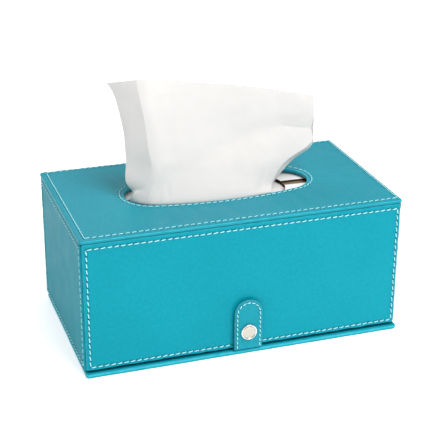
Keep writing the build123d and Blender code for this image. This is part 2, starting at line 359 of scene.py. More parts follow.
def thread_mesh(name, body, stitches, pitch=stitch_pitch, radius=thread_radius):
    """Stitches as short bent strands. Each stitch is (middle, direction along the seam, outward normal)."""
    sides, stations = 9, np.array([-1.0, -0.93, -0.75, -0.4, 0.0, 0.4, 0.75, 0.93, 1.0])
    height = 0.34 - 0.62 * np.abs(stations) ** 5
    width = radius * (1.0 - 0.30 * np.abs(stations) ** 4)
    width[0] = width[-1] = radius * 0.30
    length = pitch * stitch_share
    skin = Skin()
    for middle, along, outward in stitches:
        along, outward = np.array(along, float), np.array(outward, float)
        across = np.cross(outward, along)
        lean = stitch_slant + random.uniform(-0.03, 0.03)
        direction = along * math.cos(lean) + across * math.sin(lean)
        side = np.cross(outward, direction)
        half = length / 2 * random.uniform(0.97, 1.03)
        lift = random.uniform(-0.03, 0.04)
        for s, h, w in zip(stations, height, width):
            centre = np.array(middle) + direction * (s * half) + outward * (h + lift)
            ring = []
            for k in range(sides):
                turn = 2 * math.pi * k / sides
                ply = 1.0 + 0.09 * math.cos(2 * turn - 5.5 * s)
                sideways, upwards = math.cos(turn) * w * ply, math.sin(turn) * w * 0.82 * ply
                ring.append(centre + side * sideways + outward * upwards)
            skin.row(ring)
        skin.join(ends=True)
    made = skin.make(name, thread, 60)
    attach(made, body)


def wall(name, length, along, outward, seam_insets, seed, hide):
    """A wall, laid out over a flat field, u along it and v up it, that wraps round its vertical corners to
    the mitre and over its top and bottom rims. Its seam is inset from the left, right, bottom and top."""
    left, right, bottom, top = seam_insets
    tall = wall_head - wall_foot
    middle = (wall_head + wall_foot) / 2
    reach = cover_depth / 2 if abs(outward[1]) > 0.5 else cover_length / 2
    flat_u = length / 2 - wall_corner_round
    flat_v = tall / 2 - wall_edge_round
    half_u = flat_u + wall_corner_round * math.pi / 4
    half_v = flat_v + wall_edge_round * math.pi / 2
    along, outward = np.array(along, float), np.array(outward, float)

    def place(u, v, lift=0.0):
        u, v = np.atleast_1d(u), np.atleast_1d(v)
        side, over = np.sign(u), np.sign(v)
        theta = np.maximum(np.abs(u) - flat_u, 0) / wall_corner_round
        phi = np.maximum(np.abs(v) - flat_v, 0) / wall_edge_round
        a = np.where(theta > 0, side * (flat_u + wall_corner_round * np.sin(theta)), u)
        b = -wall_corner_round * (1 - np.cos(theta))
        z = np.where(phi > 0, over * (flat_v + wall_edge_round * np.sin(phi)), v)
        out = lift * np.cos(phi) - wall_edge_round * (1 - np.cos(phi))
        a += side * np.sin(theta) * out
        b += np.cos(theta) * out
        z = z + lift * over * np.sin(phi) + middle
        return a[:, None] * along + (reach + b)[:, None] * outward + z[:, None] * UP

    def field(west, east, south, north):
        """The rectangle at these distances from the field's edges, as low and high u and v."""
        return -half_u + west, half_u - east, -half_v + south, half_v - north

    margins = [half_u - (length / 2 - left), half_u - (length / 2 - right),
               half_v - (tall / 2 - bottom), half_v - (tall / 2 - top)]
    count_u = round((2 * half_u - margins[0] - margins[1]) / stitch_pitch)
    count_v = round((2 * half_v - margins[2] - margins[3]) / stitch_pitch)
    steps_u, steps_v = count_u * stitch_steps, count_v * stitch_steps
    walk_u, walk_v = np.arange(steps_u) / steps_u, np.arange(steps_v) / steps_v
    phase = np.concatenate([walk_u * count_u, walk_v * count_v] * 2)

    skin = Skin()
    rings = [(share, 0.0) for share in outer_shares] + [(1.0, offset) for offset in ring_offsets]
    for share, offset in rings:
        low_u, high_u, low_v, high_v = field(*[m * share + offset for m in margins])
        u = np.concatenate([low_u + walk_u * (high_u - low_u), np.full(steps_v, high_u),
                            high_u - walk_u * (high_u - low_u), np.full(steps_v, low_u)])
        v = np.concatenate([np.full(steps_u, low_v), low_v + walk_v * (high_v - low_v),
                            np.full(steps_u, high_v), high_v - walk_v * (high_v - low_v)])
        distance = offset if share == 1.0 else (share - 1.0) * 3.6
        lift = seam_relief(distance, phase)
        if share < 1.0:
            lift += 0.20 * math.sin(math.pi * share)
        if distance < 3:
            lift += wall_wave * uneven(place(u, v), 0.16, seed) * (0.4 if share == 0 else 1.0)
        if offset == ring_offsets[-1]:
            lift = 0.0
        # Edge wear and a painted highlight on the rounded rims; painted shade in the rim groove and along the
        # seam.
        edge = max(0.0, 1.0 - share * 1.9) if share > 0 else 0.0
        shade = rim_shades[len(skin.rows)] if len(skin.rows) < 2 else seam_shade(distance, phase)
        skin.row(place(u, v, lift), edge, shade)
    rows = skin.join()
    skin.faces.append(tuple(rows[-1]))
    inner_a, inner_b = length / 2 - wall_thickness, reach - wall_thickness
    inside = skin.row([a * inner_a * along + inner_b * outward + z * UP
                       for a, z in ((-1, wall_foot), (1, wall_foot), (1, wall_head), (-1, wall_head))])
    corners = [0, steps_u, steps_u + steps_v, 2 * steps_u + steps_v, len(rows[0])]
    for k in range(4):
        run = (rows[0] + rows[0][:1])[corners[k]:corners[k + 1] + 1]
        skin.faces.append(tuple(run + [inside[(k + 1) % 4], inside[k]]))
    skin.faces.append(tuple(inside))
    made = skin.make(name + "_leather", hide, 50)
    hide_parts(name)
    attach(made, "cover")

    low_u, high_u, low_v, high_v = field(*margins)
    stitches = []
    for u in middles(low_u, high_u, count_u):
        behind_tab = name == "front_wall" and tab_low[0] - 0.6 < u < tab_high[0] + 0.6
        stitches += [(place(u, v)[0], along, outward) for v in ((high_v,) if behind_tab else (low_v, high_v))]
    for v in middles(low_v, high_v, count_v):
        stitches += [(place(u, v)[0], UP, outward) for u in (low_u, high_u)]
    thread_mesh(name + "_stitches", "cover", stitches)


wall("front_wall", cover_length, (1, 0, 0), (0, -1, 0), (4.1, 3.0, 2.8, 4.2), 1, turquoise)
wall("back_wall", cover_length, (-1, 0, 0), (0, 1, 0), (3.6, 3.6, 2.8, 4.2), 2, turquoise)
wall("left_wall", cover_depth, (0, -1, 0), (-1, 0, 0), (3.6, 3.6, 3.0, 3.8), 3, side_shade_leather)
wall("right_wall", cover_depth, (0, 1, 0), (1, 0, 0), (3.6, 3.6, 3.0, 3.8), 4, side_shade_leather)


def oval_arcs(half_length, half_width, end_radius):
    """A four-centre oval's end centre, its side radius and how far the side's centre lies past the middle."""
    centre = half_length - end_radius
    side = (centre**2 + half_width**2 - end_radius**2) / (2 * (half_width - end_radius))
    return centre, side, side - half_width


def oval_line(oval, count, seam_offset):
    """Points and outward normals round an oval, evenly spaced along its outline at seam_offset."""
    end_radius = oval[2]
    centre, side, rise = oval_arcs(*oval)
    lean = math.atan2(centre, rise)
    end_run = (end_radius + seam_offset) * (math.pi / 2 - lean)
    side_run = (side + seam_offset) * lean
    quarter = end_run + side_run
    points, normals = [], []
    for k in range(count):
        turn, rest = divmod(4 * quarter * k / count, quarter)
        if turn in (1.0, 3.0):
            rest = quarter - rest
        if rest <= end_run:
            angle = rest / (end_radius + seam_offset)
            origin, radius = (centre, 0.0), end_radius
        else:
            angle = math.pi / 2 - (quarter - rest) / (side + seam_offset)
            origin, radius = (0.0, -rise), side
        normal = np.array([math.cos(angle), math.sin(angle)])
        flip = [(1, 1), (-1, 1), (-1, -1), (1, -1)][int(turn) % 4]
        points.append((origin + radius * normal) * flip)
        normals.append(normal * flip)
    return np.array(points), np.array(normals)


def rectangle_ring(low, high, insets, corner, steps):
    """Points round a rounded rectangle, inset from left, front, right and back: steps along each side."""
    left, front, right, back = insets
    x0, y0, x1, y1 = low[0] + left, low[1] + front, high[0] - right, high[1] - back
    radius = max(corner - min(insets), 0.0)
    turns = 6
    points = []
    for (ax, ay), (bx, by), (cx, cy), start, count in (
        ((x0 + radius, y0), (x1 - radius, y0), (x1 - radius, y0 + radius), -90, steps[0]),
        ((x1, y0 + radius), (x1, y1 - radius), (x1 - radius, y1 - radius), 0, steps[1]),
        ((x1 - radius, y1), (x0 + radius, y1), (x0 + radius, y1 - radius), 90, steps[0]),
        ((x0, y1 - radius), (x0, y0 + radius), (x0 + radius, y0 + radius), 180, steps[1]),
    ):
        for k in range(count + 1):
            points.append((ax + (bx - ax) * k / count, ay + (by - ay) * k / count))
        for k in range(1, turns):
            angle = math.radians(start + 90 * k / turns)
            points.append((cx + radius * math.cos(angle), cy + radius * math.sin(angle)))
    return np.array(points)


def at_level(line, z):
    return np.column_stack([line, np.full(len(line), z)])


def rounded_edges(radius, thickness, steps):
    """(inset, height) pairs over the outside of a board, round at its lower and at its upper edge."""
    turns = [math.pi / 2 * k / steps for k in range(steps + 1)]
    lower = [(radius - radius * math.sin(a), radius - radius * math.cos(a)) for a in turns]
    upper = [(radius - radius * math.cos(a), thickness - radius + radius * math.sin(a)) for a in turns]
    return lower, upper


def fill_between(loops, level, normal):
    """Triangles over a flat face bounded by loops of (x, y) points, as points and faces."""
    work = bmesh.new()
    edges = []
    for loop in loops:
        verts = [work.verts.new((x, y, level)) for x, y in loop]
        edges += [work.edges.new(pair) for pair in zip(verts, verts[1:] + verts[:1])]
    bmesh.ops.triangle_fill(work, use_beauty=True, use_dissolve=False, edges=edges, normal=normal)
    work.verts.index_update()
    points = [tuple(v.co) for v in work.verts]
    faces = [tuple(v.index for v in f.verts) for f in work.faces]
    work.free()
    return points, faces


def unique(loop):
    """The loop without points that coincide with the one before."""
    kept = [loop[0]]
    for spot in loop[1:]:
        if math.dist(spot, kept[-1]) > 1e-4:
            kept.append(spot)
    if math.dist(kept[0], kept[-1]) < 1e-4:
        kept.pop()
    return kept


def top_leather():
    """The lid's leather: over its outer edges to the seam, round the opening, and flat between the two."""
    thickness = cover_height - wall_head
    seam_insets = np.array([4.8, 4.5, 2.6, 3.0])
    low, high = top_low[:2], top_high[:2]
    x0, y0 = low + seam_insets[:2]
    x1, y1 = high - seam_insets[2:]
    count_x = round((x1 - x0) / stitch_pitch)
    count_y = round((y1 - y0) / stitch_pitch)
    steps = (count_x * stitch_steps, count_y * stitch_steps)
    phase_x, phase_y = np.arange(steps[0] + 1) / stitch_steps, np.arange(steps[1] + 1) / stitch_steps
    corner = np.zeros(5)
    edge_phase = np.concatenate([phase_x, corner, phase_y, corner] * 2)
    skin = Skin()

    def ring(line, z, distance, phase, proud, edge, shade=0.0):
        """A row over a line of (x, y) points, shaped by the seam where it has a distance from one."""
        spots = at_level(line, wall_head + z)
        if distance is not None:
            shade = seam_shade(distance, phase)
            if distance != ring_offsets[-1]:
                lift = seam_relief(distance, phase) + lid_wave * uneven(spots, 0.15, 9)
                spots[:, 2] += lift + (proud if distance < -1.0 else 0.0)
        skin.row(spots, edge, shade)

    lower, upper = rounded_edges(top_edge_round, thickness, 4)
    profile = [(np.full(4, inset), z, None) for inset, z in lower + upper]
    seam_start = ring_offsets[0]
    for share in (0.25, 0.5, 0.75):
        insets = top_edge_round + (seam_insets + seam_start - top_edge_round) * share
        profile.append((insets, thickness, seam_start - 2.0 * (1 - share)))
    profile += [(seam_insets + offset, thickness, offset) for offset in ring_offsets]
    for index, (insets, z, distance) in enumerate(profile):
        line = rectangle_ring(low, high, insets, wall_corner_round, steps)
        # Edge wear and a painted highlight on the lid's upper rounded edge; painted shade on its lower round,
        # in the groove over the walls.
        worn_and_lit = 0.75 * max(0.0, 1.0 - insets[0] / 1.1) if index > len(lower) else 0.0
        ring(line, z, distance, edge_phase, 0.14, worn_and_lit, 0.9 if index < 3 else 0.0)
    outer = skin.join()

    rim_inset = 3.7
    spots, normals = oval_line(opening_oval, 4000, rim_inset)
    seam_line = spots + normals * rim_inset
    perimeter = np.linalg.norm(seam_line - np.roll(seam_line, 1, axis=0), axis=1).sum()
    count = 2 * round(perimeter / stitch_pitch / 2)
    spots, normals = oval_line(opening_oval, count * stitch_steps, rim_inset)
    rim_phase = np.arange(count * stitch_steps) / stitch_steps
    rim = [(0.35, 0.0, None), (0.0, 0.35, None), (0.0, 1.1, None)]
    rim += [(inset, z, None) for inset, z in rounded_edges(opening_edge_round, thickness, 4)[1]]
    rim += [(offset, thickness, offset - rim_inset) for offset in (1.3, 1.9, 2.5)]
    rim += [(rim_inset + offset, thickness, offset) for offset in ring_offsets]
    for offset, z, distance in rim:
        # Edge wear and a painted highlight round the opening's edge.
        worn_and_lit = max(0.0, 1.0 - abs(offset - 0.45)) if z > 1.5 else 0.0
        ring(spots + normals * offset, z, distance, rim_phase, 0.12, worn_and_lit)
    inner = skin.join()

    for level, end, normal in ((cover_height, -1, (0, 0, 1)), (wall_head, 0, (0, 0, -1))):
        loops = [[skin.points[i][:2] for i in rows[end]] for rows in (outer, inner)]
        more, triangles = fill_between([unique(loops[0]), loops[1]], level, normal)
        numbers = skin.row(more)
        skin.faces += [tuple(numbers[i] for i in triangle) for triangle in triangles]
    made = skin.make("top_leather", lid_sheen_leather, 50)
    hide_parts("top_panel")
    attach(made, "cover")

    stitches = []
    for x in middles(x0, x1, count_x):
        stitches += [((x, y0, cover_height), (1, 0, 0), UP), ((x, y1, cover_height), (-1, 0, 0), UP)]
    for y in middles(y0, y1, count_y):
        stitches += [((x1, y, cover_height), (0, 1, 0), UP), ((x0, y, cover_height), (0, -1, 0), UP)]
    thread_mesh("top_edge_stitches", "cover", stitches)
    stitches = []
    for spot, normal in list(zip(*oval_line(opening_oval, 2 * count, rim_inset)))[1::2]:
        x, y = spot + normal * rim_inset
        stitches.append(((x, y, cover_height), (-normal[1], normal[0], 0), UP))
    thread_mesh("opening_stitches", "cover", stitches)


top_leather()


def base_leather():
    """The bottom board: fully rolled edges, its leather a little uneven along them."""
    thickness = base_top - base_low[2]
    radius = thickness * 0.46
    middle = (base_low[:2] + base_high[:2]) / 2
    lower, upper = rounded_edges(radius, thickness, 5)
    skin = Skin()
    for inset, z in [(6.0, 0.0)] + lower + upper + [(2.4, thickness), (6.0, thickness)]:
        ring = rectangle_ring(base_low[:2], base_high[:2], [inset] * 4, base_corner_round, (100, 56))
        spots = at_level(ring, base_low[2] + z)
        if 0 < z < thickness:
            push = base_wave * uneven(spots, 0.12, 5) - 0.06
            spots[:, :2] += np.sign(spots[:, :2] - middle) * push[:, None]
        # Painted highlight along the upper half of the rolled edge, and painted shade on the top face inside
        # the slit under the walls.
        lit = 1.5 * math.exp(-(((z - 0.66 * thickness) / 0.7) ** 2)) if inset < radius else 0.0
        shade = 0.8 if z == thickness and inset > radius + 0.01 else 0.0
        skin.row(spots, lit, shade)
    skin.join(ends=True)
    made = skin.make("base_leather", turquoise, 50)
    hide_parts("base_flap")
    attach(made, "base")


base_leather()


def hinge_leather():
    """The strip folded in the gap: one leaf on the base, one under the back wall, joined round the back."""
    y0, y1 = strip_low[1], strip_high[1] - 0.45
    low, high, thin = base_top + 0.02, wall_foot - 0.02, 0.5
    middle, outer = (low + high) / 2, (high - low) / 2

    def arc(radius, way, count):
        turns = np.linspace(0, math.pi, count)
        return [(y1 + radius * math.sin(a), middle + way * radius * math.cos(a)) for a in turns]

    outline = [(y0, low), *arc(outer, -1, 11), (y0, high), (y0, high - thin), *arc(outer - thin, 1, 9)]
    outline.append((y0, low + thin))
    skin = Skin()
    for x in np.linspace(strip_low[0], strip_high[0], 41):
        wobble = 0.10 * noise.noise(Vector((x * 0.12, 3.0, 1.0)))
        skin.row([(x, y + wobble, z) for y, z in outline])
    skin.join(ends=True)
    made = skin.make("hinge_leather", turquoise, 50)
    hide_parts("hinge_strip")
    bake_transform(made)


hinge_leather()


# The strap's foot, seen from the side as (y, z): down its outer and its inner face, in under the wall and
# flat on the base
foot_outer = [(-73.4, 5.8), (-73.33, 5.5), (-73.1, 5.25), (-72.8, 5.12), (-72.3, 5.06), (-71.8, 4.75),
              (-71.3, 4.35), (-70.6, 4.12), (-69.5, 4.05), (-66.0, 4.05)]
foot_inner = [(-71.4, 6.1), (-71.3, 5.8), (-71.1, 5.5), (-70.8, 5.25), (-70.4, 5.05), (-69.9, 4.95),
              (-69.4, 4.92), (-68.8, 4.90), (-68.0, 4.90), (-66.0, 4.90)]


def tab_leather():
    """The strap: rings run up one side, round its top and down the other. The foot turns in below."""
    half = (tab_high[0] - tab_low[0]) / 2
    centre_x = (tab_high[0] + tab_low[0]) / 2
    outer_y = foot_outer[0][0]
    shoulder = tab_high[2] - half
    straight = shoulder - foot_outer[0][1]
    stitch_inset = 2.0
    tab_pitch = 3.7

    def path(s, share):
        """(y, z) and outward normal at s above the foot or at its station -s, from inner to outer face."""
        pair = []
        for foot in (foot_inner, foot_outer):
            if s >= 0:
                y, z = foot[0]
                pair.append((y, z + (shoulder - z) * s / straight, -1.0, 0.0))
            else:
                (last_y, last_z), (y, z) = foot[-s - 1:1 - s]
                run = math.hypot(y - last_y, z - last_z)
                pair.append((y, z, (z - last_z) / run, -(y - last_y) / run))
        return [i + (o - i) * share for i, o in zip(*pair)]

    run_half = half - stitch_inset
    run_length = 2 * straight + math.pi * run_half
    count = round(run_length / tab_pitch)
    pitch = run_length / count
    # The outline as (side, height above the foot, angle round the top, seam phase); side 0 is the round top
    count_up = round(straight / (tab_pitch / 5))
    climb = list(range(1 - len(foot_outer), 0)) + [straight * k / count_up for k in range(count_up)]
    arc_steps = 48
    arc = [math.pi * (1 - k / arc_steps) for k in range(arc_steps + 1)]
    outline = [(-1, s, 0.0, s / pitch) for s in climb]
    outline += [(0, straight, angle, (straight + run_half * (math.pi - angle)) / pitch) for angle in arc]
    outline += [(1, s, 0.0, (run_length - s) / pitch) for s in reversed(climb)]

    # Rings as (inset, share of the way from inner to outer face, distance from the seam)
    edge_round = 0.75
    profile = [(half, 0.0, None), (half - 0.8, 0.0, None), (edge_round, 0.0, None), (0.22, 0.10, None),
               (0.0, 0.30, None), (0.0, 0.46, None), (0.07, 0.50, None), (0.0, 0.54, None), (0.0, 0.72, None),
               (0.2, 0.90, None), (edge_round, 1.0, None)]
    profile += [(inset, 1.0, inset - stitch_inset)
                for inset in (1.0, 1.3, 1.55, 1.78, 2.0, 2.22, 2.45, 2.75, 3.3, 4.4, 6.2)]
    profile += [(8.6, 1.0, 6.2), (half - 0.8, 1.0, 8.0), (half, 1.0, 9.0)]
    skin = Skin()
    for inset, share, distance in profile:
        radius = half - inset
        spots, shades = [], []
        for kind, s, angle, phase in outline:
            y, z, normal_y, normal_z = path(s, share)
            if kind == 0:
                x = radius * math.cos(angle)
                z = shoulder + radius * math.sin(angle)
            else:
                x = kind * radius
            lift = shade = 0.0
            if distance is not None and s >= 0:
                fade = min(1.0, max(0.0, (s + 0.6) / 2.0))
                phase = np.array(phase)
                shade = fade * float(seam_shade(distance, phase))
                if distance <= 5.5:
                    lift = fade * float(seam_relief(distance, phase)) * 0.8
                lift += strap_wave * noise.noise(Vector((x * 0.2, z * 0.2, 4.0))) * min(1.0, radius / 4)
                near_snap = math.hypot(x, z - cap_z)
                if near_snap < 9.5:
                    lift -= 0.30 * math.exp(-((near_snap - 5.5) / 2.0) ** 2)
            spots.append((centre_x + x, y + normal_y * lift, z + normal_z * lift))
            shades.append(shade)
        # Edge wear and a painted highlight along the strap's edges.
        skin.row(spots, 0.9 if inset < 0.15 else max(0.0, 0.6 - inset / 1.2), shades)
    skin.join(closed=False)
    made = skin.make("tab_leather", strap_leather, 60, fill=True)
    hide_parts("snap_tab")
    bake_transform(made)

    stitches = []
    for k in range(count):
        s = (k + 0.5) * pitch
        if s < straight:
            spot, along = (centre_x - run_half, outer_y, path(s, 1.0)[1]), (0, 0, 1)
        elif s < straight + math.pi * run_half:
            angle = math.pi - (s - straight) / run_half
            spot = (centre_x + run_half * math.cos(angle), outer_y, shoulder + run_half * math.sin(angle))
            along = (math.sin(angle), 0, -math.cos(angle))
        else:
            spot, along = (centre_x + run_half, outer_y, path(run_length - s, 1.0)[1]), (0, 0, -1)
        stitches.append((spot, along, (0, -1, 0)))
    thread_mesh("tab_stitches", "tab", stitches, pitch, radius=0.42)


tab_leather()


def snap_cap():
    """The turned cap and its post: the profile is (radius, distance in front of the strap)."""
    profile = [(0, 1.50), (1.5, 1.48), (3.0, 1.42), (4.0, 1.33), (4.6, 1.22), (4.9, 1.12), (5.02, 1.02),
               (5.10, 1.04), (5.22, 1.28), (5.42, 1.50), (5.68, 1.60), (5.94, 1.54), (6.12, 1.38),
               (6.24, 1.14), (6.30, 0.80), (6.30, 0.30), (6.22, 0.08), (6.05, 0.0), (1.4, 0.0), (1.4, -2.0),
               (0, -2.0)]
    rim_from = 5.2
    segments = 72
    turns = [2 * math.pi * k / segments for k in range(segments)]
    skin = Skin()
    for radius, out in profile:
        ring = [(cap_x + radius * math.cos(a), tab_low[1] - out, cap_z + radius * math.sin(a)) for a in turns]
        # The rim is marked for the painted highlight in the nickel.
        skin.row(ring, float(radius > rim_from))
    skin.join()
    made = skin.make("snap_cap_polished", nickel, 40)
    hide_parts("snap_cap")
    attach(made, "tab")


snap_cap()
for node in ("snap_socket", "snap_stud"):
    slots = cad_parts[node].data.materials
    slots.clear()
    slots.append(nickel)


def hole_edge(x):
    """Half the carton hole's width at x, or 0 past its ends."""
    half_length, end_radius = hole_oval[0], hole_oval[2]
    centre, side, rise = oval_arcs(*hole_oval)
    if abs(x) >= half_length:
        return 0.0
    if abs(x) > centre * side / (side - end_radius):
        return math.sqrt(max(0.0, end_radius**2 - (abs(x) - centre) ** 2))
    return math.sqrt(side**2 - x * x) - rise


def carton_piece():
    """The carton: board walls, bottom flaps that meet in the middle, end flaps and two long top flaps."""
    board, gap = 0.45, 4.5
    hole_half_length = hole_oval[0]
    x1, y1 = carton_high[0], carton_high[1]
    foot, head = carton_low[2] + 0.05, carton_high[2] - 0.35
    white, kraft = 0, 1
    points, faces, marks = [], [], []

    def plate(spot, across, along, upper_mark, lower_mark):
        """A board plate, its cut edges in kraft: spot(share across, place along) is an upper point."""
        start = len(points)
        count, last = len(along), across - 1
        for share in np.linspace(0, 1, across):
            for place in along:
                x, y, z = spot(share, place)
                points.extend([(x, y, z), (x, y, z - board)])

        def at(r, c, under):
            return start + 2 * (r * count + c) + under

        for r in range(last):
            for c in range(count - 1):
                for under, mark in ((0, upper_mark), (1, lower_mark)):
                    cell = ((r, c), (r, c + 1), (r + 1, c + 1), (r + 1, c))
                    faces.append(tuple(at(*spot, under) for spot in cell))
                    marks.append(mark)
        cut_edges = [((r, c), (r, c + 1)) for c in range(count - 1) for r in (0, last)]
        cut_edges += [((r, c), (r + 1, c)) for r in range(last) for c in (0, count - 1)]
        for a, b in cut_edges:
            faces.append((at(*a, 0), at(*b, 0), at(*b, 1), at(*a, 1)))
            marks.append(kraft)

    ends = np.linspace(-x1, -hole_half_length, 12)
    middle = hole_half_length * np.sin(np.linspace(-math.pi / 2, math.pi / 2, 61))
    stations = np.concatenate([ends, middle[1:-1], -ends[::-1]])
    for side in (-1, 1):
        def long_flap(f, x):
            free = max(gap, hole_edge(x))
            curl = 0.5 * f**3 * math.exp(-((abs(x) - 40) / 45) ** 2)
            sway = 0.20 * noise.noise(Vector((x * 0.03, side * 2.0, f))) if f > 0 else 0.0
            return x, side * (y1 + (free - y1) * f), head + curl + sway

        plate(long_flap, 10, stations, white, kraft)
    for side in (-1, 1):
        def end_flap(f, y):
            sway = 0.2 * noise.noise(Vector((side * 3.0, y * 0.04, f)))
            return side * (x1 + (hole_half_length + 1.5 - x1) * f), y, head - 1.15 - 0.8 * f + sway

        plate(end_flap, 6, np.linspace(1 - y1, y1 - 1, 14), kraft, kraft)
    for side, reach in ((-1, 0.4), (1, -5.6)):
        def bottom_flap(f, x):
            return x, side * (y1 + (reach - y1) * f), foot + board + (0.5 * f if side > 0 else 0.0)

        plate(bottom_flap, 5, np.linspace(-x1, x1, 14), kraft, white)
    outside = rectangle_ring((-x1, -y1), (x1, y1), [0.0] * 4, 0.9, (16, 10))
    levels = np.linspace(foot, head, 8)
    loops = []
    for inset, heights in ((0.0, levels), (board, levels[::-1])):
        for z in heights:
            loops.append(list(range(len(points), len(points) + len(outside))))
            points += [(x * (1 - inset / x1), y * (1 - inset / y1), z) for x, y in outside]
    loops.append(loops[0])
    for k, (first, second) in enumerate(zip(loops, loops[1:])):
        faces += band(first, second)
        marks += [white if k < len(levels) else kraft] * len(first)
    made = piece("carton_board", points, faces, [white_board, kraft_board], face_materials=marks, sharp=40)
    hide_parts("tissue_carton")
    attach(made, "cover")


carton_piece()


def stack_piece():
    """The folded tissues: layered edges, and on top the next tissue, drawn up a little under the hole."""
    low, high = stack_low, stack_high
    steps = (60, 36)
    layers = 44
    corner = 4.0
    levels = [(9.0, low[2])]
    for k, z in enumerate(np.linspace(low[2], high[2] - 1.6, layers)):
        levels.append(((0.9 if k % 2 else 0.25) + random.uniform(0.0, 0.35), z))
    levels += [(1.0, high[2] - 1.0), (2.0, high[2] - 0.45), (4.0, high[2] - 0.15), (9.0, high[2])]
    skin = Skin()
    for inset, z in levels:
        ring = rectangle_ring(low[:2], high[:2], [inset] * 4, corner, steps)
        wave = 0.25 * uneven(at_level(ring, z), 0.05, 6)
        skin.row([(x, y, max(low[2], min(z + w * min(1, (z - low[2]) / 4), high[2])))
                  for (x, y), w in zip(ring, wave)])
    rows = skin.join()
    skin.faces.append(tuple(rows[0]))

    rise, end_rise, across = 5.0, 2.4, 34
    edge = np.array([skin.points[i] for i in rows[-1]])
    skin.rows = rows[-1:]
    for k in range(1, across):
        share = 1 - k / across
        ring = edge * [share, share, 1.0]
        for spot in ring:
            x, y = spot[0], spot[1]
            under = math.exp(-((abs(x) / 63) ** 12) - (((y - 4) / 30) ** 4))
            fold = 0.5 * noise.noise(Vector((x * 0.05, y * 0.12, 2.0))) + 0.35 * math.sin(y * 0.5 + x * 0.05)
            raised = end_rise * math.exp(-(((x - 44) / 17) ** 6) - ((y / 25) ** 6))
            spot[2] += (rise + raised + fold) * under
        skin.row(ring)
    skin.faces.append(tuple(skin.join()[-1]))
    made = skin.make("folded_tissues", tissue, 60)
    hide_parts("tissue_stack")
    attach(made, "cover")


stack_piece()


# The drawn tissue: lines that run up it, from its left edge to its back edge, in millimetres. Each starts on
# the folded stack, comes up through the carton's hole to the rim of the oval opening, and goes on to the free
# edge. Its fourth point is at the rim.
tissue_lines = [
    # Left edge
    [(-44, 0.5, 101), (-52, -1.5, 106.3), (-61, -4.5, 107.2), (-71.6, -6.6, 109.6), (-69.3, -6.8, 115.8),
     (-71.3, -6.3, 120.1), (-73.8, -5.2, 125.4), (-72.7, -3, 137), (-72.5, -1.6, 148.3), (-73.1, -0.8, 160),
     (-74.9, -0.2, 171.6), (-76.9, 0.2, 181.8), (-80.2, 0.5, 192.8), (-84.5, 0.5, 200.8)],
    # Left ridge
    [(-43, -5, 101), (-51.5, -6.5, 106.2), (-60.5, -8.6, 107.2), (-69.8, -10.4, 109.6),
     (-69.4, -10.8, 116.5), (-65.3, -12.2, 119), (-62.5, -13.3, 124.3), (-57.5, -14.5, 132.3),
     (-56.2, -14.7, 138.5), (-58, -13.4, 152.5), (-59.2, -12.5, 165.4), (-61.8, -12, 182),
     (-65.8, -11.5, 204.9)],
    # Left corner
    [(-42, -8, 100.8), (-50, -10.5, 106), (-58, -12.6, 107.1), (-66, -15, 109.7), (-62, -15.6, 119),
     (-54.1, -16, 133.4), (-52.1, -14.3, 150.5), (-54.8, -13, 173.8), (-60, -12, 205)],
    # Left fold
    [(-40, -11, 100.5), (-46.5, -14, 105.8), (-53, -17, 107.2), (-59.2, -19.6, 110), (-54.2, -17.8, 122),
     (-46.9, -15.8, 137.6), (-46.5, -12.7, 157.2), (-49.7, -11.5, 180.4), (-53, -11, 204.4)],
    # Left panel
    [(-34, -15, 100), (-39.5, -19.5, 104.8), (-43, -21.2, 107.2), (-46.4, -22.7, 110.2),
     (-43.4, -19.2, 119.5), (-37.8, -15, 132.7), (-32.9, -10.8, 151), (-32.1, -8.5, 166),
     (-34.8, -8, 185.6), (-37.4, -8, 200.8)],
    # Middle panel
    [(-6, -18, 99.5), (-8, -24.3, 104.8), (-11, -26, 107.2), (-12.7, -26.8, 110.2), (-9.9, -21.2, 120),
     (-3.7, -14.3, 133.2), (0.9, -8.7, 146.7), (1.1, -5.5, 161.4), (-2, -5, 179), (-3.8, -5, 194.4)],
    # Right panel
    [(14, -18, 99.5), (14, -24.2, 104.8), (14.7, -25.8, 107.2), (15.5, -26.5, 110.2), (19.5, -20.4, 120),
     (27.1, -14.2, 131.7), (32.8, -9.7, 141.8), (36.4, -6.5, 152.7), (35, -5, 169.7), (32.3, -5, 187.7)],
    # Right ridge
    [(28, -14, 100), (31, -20, 104.8), (33.4, -22.4, 107.2), (35.7, -24.2, 109.8), (37.4, -19.5, 112.8),
     (41, -16, 117.5), (44.9, -14, 122.9), (51.3, -12.2, 128.1), (62.8, -9.9, 133.6), (73.9, -8.1, 139.4),
     (77.3, -6.8, 146.3), (77.4, -5.7, 157.4), (76.1, -5, 177.2)],
    # Back edge
    [(31, -6, 101), (34, -12, 105.6), (36.2, -15.8, 107.6), (38.4, -18.2, 110), (41.8, -13.4, 113),
     (49.9, -9, 119.2), (57.5, -6.4, 124.4), (67.9, -4.1, 129.9), (77.7, -2.3, 136.4), (79, -1.2, 147.5),
     (78, -0.6, 159.8), (76.2, -0.5, 174.1)],
]
# Where the tissue was folded in the stack, as (x, z) from its right edge to the left
crease = [(90, 149.5), (70.5, 151.7), (51.2, 155.1), (33.2, 153.8), (5.4, 144.8), (-15.1, 138.6), (-30, 134)]
# Small folds from the rim up, as (x at the foot, x at the head, height of the head, depth, breadth)
small_folds = [(-62.0, -50.0, 138.0, 0.45, 1.6), (-58.0, -45.0, 130.0, -0.40, 1.6),
               (-51.0, -47.0, 124.0, 0.45, 1.2), (-46.0, -43.5, 126.0, -0.45, 1.2),
               (22.0, 31.0, 140.0, 0.60, 1.8), (27.0, 37.0, 132.0, -0.50, 1.6)]
fold_foot = 110.0


